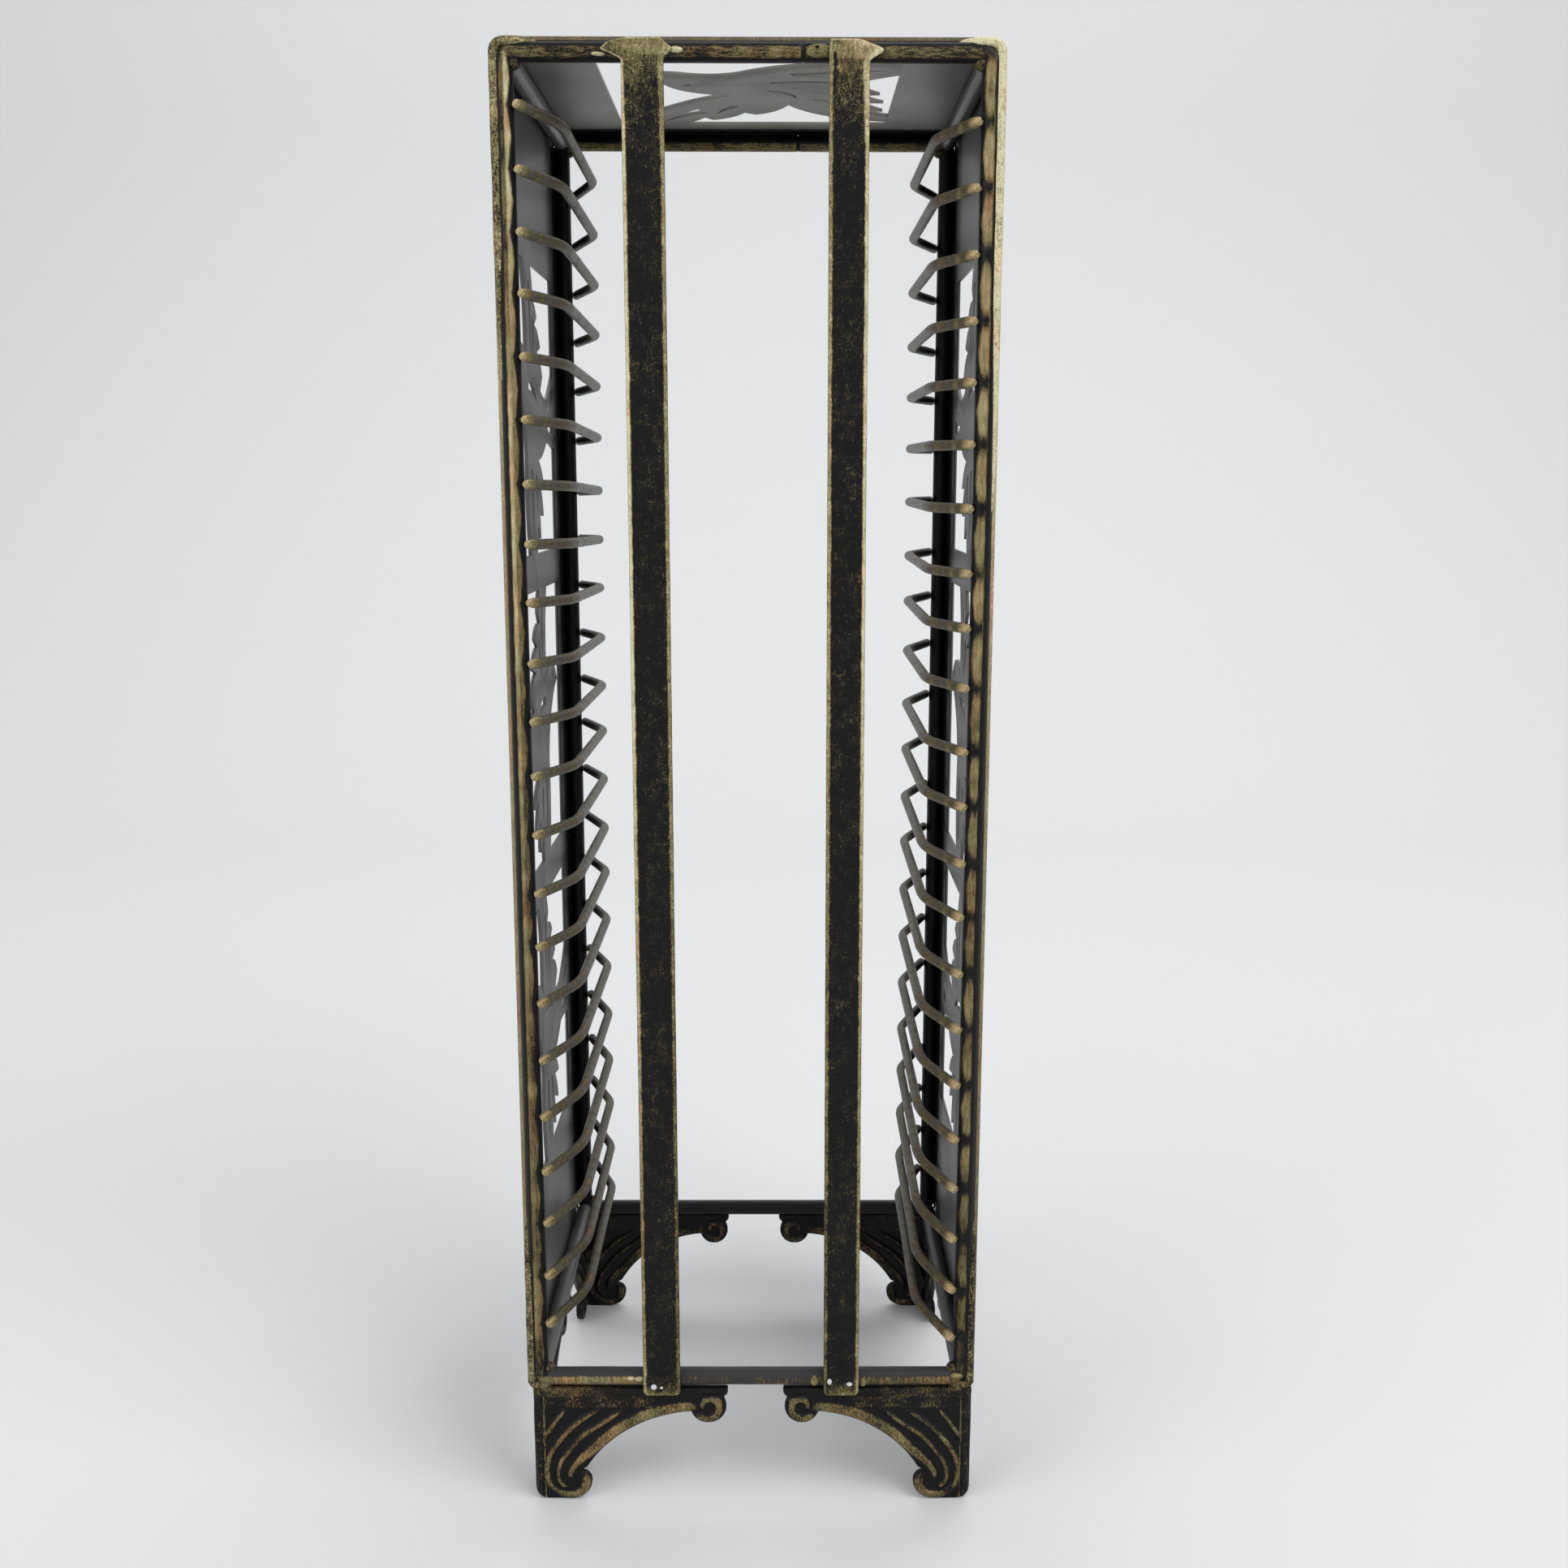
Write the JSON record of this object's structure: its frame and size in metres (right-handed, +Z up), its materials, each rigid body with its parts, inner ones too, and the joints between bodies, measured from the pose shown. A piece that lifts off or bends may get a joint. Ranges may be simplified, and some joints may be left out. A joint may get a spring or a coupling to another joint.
{
  "type": "cd dvd storage tower",
  "caption": "Free-standing open metal tower for disc cases, with bent support wires, pierced bird panels, flat strips at the back and scrolled corner feet.",
  "frame": {"origin": "bottom centre of the bounding box, on the floor plane", "axes": "+Z up, -Y towards the back, which has the two strips and is the side pictured, +Y towards the open side where the cases go in, X across"},
  "size_m": [0.163, 0.1484, 0.5065],
  "materials": {
    "rear_frame": "black paint dry-brushed with old gold, satin",
    "front_frame": "black paint with a little rubbed gold, satin",
    "depth_rod": "satin grey-black",
    "panel": "satin warm dark grey",
    "strip": "black with speckled gold brush marks, gold edges",
    "wire": "grey-gold, rubbed, satin",
    "foot": "black casting with gold-brushed ribs"
  },
  "bodies": {
    "root": {"bottom_rod_left": "depth_rod", "bottom_rod_right": "depth_rod", "foot_front_left": "foot", "foot_front_right": "foot", "foot_rear_left": "foot", "foot_rear_right": "foot", "front_frame": "front_frame", "left_panel": "panel", "rear_frame": "rear_frame", "rear_strip_left": "strip", "rear_strip_right": "strip", "right_panel": "panel", "top_panel": "panel", "top_rod_left": "depth_rod", "top_rod_right": "depth_rod", "wire_left_01": "wire", "wire_left_02": "wire", "wire_left_03": "wire", "wire_left_04": "wire", "wire_left_05": "wire", "wire_left_06": "wire", "wire_left_07": "wire", "wire_left_08": "wire", "wire_left_09": "wire", "wire_left_10": "wire", "wire_left_11": "wire", "wire_left_12": "wire", "wire_left_13": "wire", "wire_left_14": "wire", "wire_left_15": "wire", "wire_left_16": "wire", "wire_left_17": "wire", "wire_left_18": "wire", "wire_left_19": "wire", "wire_left_20": "wire", "wire_left_21": "wire", "wire_left_22": "wire", "wire_right_01": "wire", "wire_right_02": "wire", "wire_right_03": "wire", "wire_right_04": "wire", "wire_right_05": "wire", "wire_right_06": "wire", "wire_right_07": "wire", "wire_right_08": "wire", "wire_right_09": "wire", "wire_right_10": "wire", "wire_right_11": "wire", "wire_right_12": "wire", "wire_right_13": "wire", "wire_right_14": "wire", "wire_right_15": "wire", "wire_right_16": "wire", "wire_right_17": "wire", "wire_right_18": "wire", "wire_right_19": "wire", "wire_right_20": "wire", "wire_right_21": "wire", "wire_right_22": "wire"}
  },
  "joints": []
}
